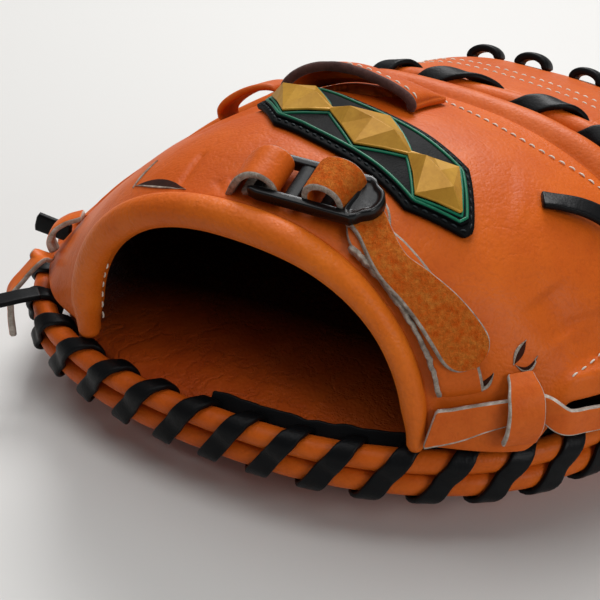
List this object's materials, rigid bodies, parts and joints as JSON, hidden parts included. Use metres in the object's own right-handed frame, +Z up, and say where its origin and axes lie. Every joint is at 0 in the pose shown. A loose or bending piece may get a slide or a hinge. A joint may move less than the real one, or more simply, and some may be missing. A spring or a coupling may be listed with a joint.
{
  "type": "catcher's mitt",
  "caption": "Padded leather catcher's mitt with laced heel and welt, buckled wrist strap, finger hood and ball pocket",
  "frame": {"origin": "on the surface the mitt rests on, below the middle of its outline", "axes": "+Z up through the hand back, +Y towards the fingertips, +X towards the thumb side"},
  "size_m": [0.2502, 0.2424, 0.1167],
  "materials": {
    "leather_orange": "smooth satin",
    "leather_light": "smooth satin",
    "leather_liner": "smooth matt",
    "suede_strap": "rough suede",
    "pile_lining": "short pile",
    "lace_black": "waxed",
    "edging_brown": "suede",
    "buckle_plastic": "satin",
    "badge_black": "matt",
    "badge_green": "satin",
    "badge_gold": "satin metallic"
  },
  "bodies": {
    "root": {"palm_pad": "leather_liner", "heel_roll_upper": "leather_orange", "heel_roll_lower": "leather_orange", "heel_lace": "lace_black", "wrist_binding": "leather_light", "back_panel": "leather_orange", "back_lining": "pile_lining", "knuckle_pad": "leather_orange", "finger_rim": "leather_orange", "web_crotch": "leather_orange", "thumb_rim": "leather_orange", "welt": "leather_orange", "welt_lace": "lace_black", "web_panel": "leather_orange", "strap": "suede_strap", "strap_tab": "leather_orange", "buckle": "buckle_plastic", "badge_backing": "badge_black", "badge_border": "badge_green", "badge_lozenge_left": "badge_gold", "badge_lozenge_middle": "badge_gold", "badge_lozenge_right": "badge_gold", "finger_hood": "leather_orange", "hood_edging": "edging_brown", "side_loop": "leather_orange", "thumb_tie": "leather_orange", "thumb_knot": "leather_orange", "finger_tie": "leather_orange", "finger_knot": "leather_orange", "lace_end_back": "lace_black", "lace_end_upper": "lace_black", "lace_end_lower": "lace_black", "rim_loop_left": "lace_black", "rim_loop_middle": "lace_black", "rim_loop_right": "lace_black", "web_lace_1": "lace_black", "web_lace_2": "lace_black", "web_lace_3": "lace_black"}
  },
  "joints": []
}
